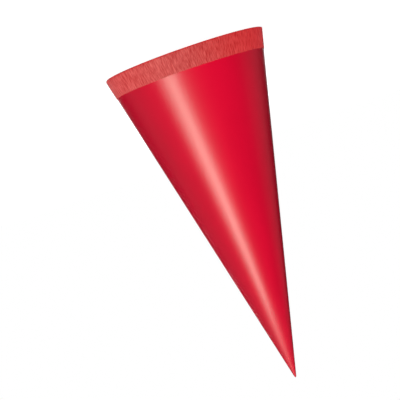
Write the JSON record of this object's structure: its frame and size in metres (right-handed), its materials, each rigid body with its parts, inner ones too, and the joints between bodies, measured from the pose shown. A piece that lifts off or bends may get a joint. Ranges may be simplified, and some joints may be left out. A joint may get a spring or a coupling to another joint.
{
  "type": "school cone",
  "caption": "Small empty gift cone of glossy red card, with a red crepe-paper sleeve glued round its mouth and tucked inside.",
  "frame": {"origin": "centre of the round mouth, on the surface that the rim stands on", "axes": "+Z along the cone's axis from the mouth up to the tip; the card's glued lap is on the back, at 118 to 145 degrees from +X towards +Y"},
  "size_m": [0.1642, 0.1642, 0.3384],
  "materials": {
    "glossy_card": "glossy coated, smooth, no print",
    "crepe_paper": "matte, finely crinkled along the cone"
  },
  "bodies": {
    "root": {"card_cone": "glossy_card", "crepe_sleeve": "crepe_paper"}
  },
  "joints": []
}
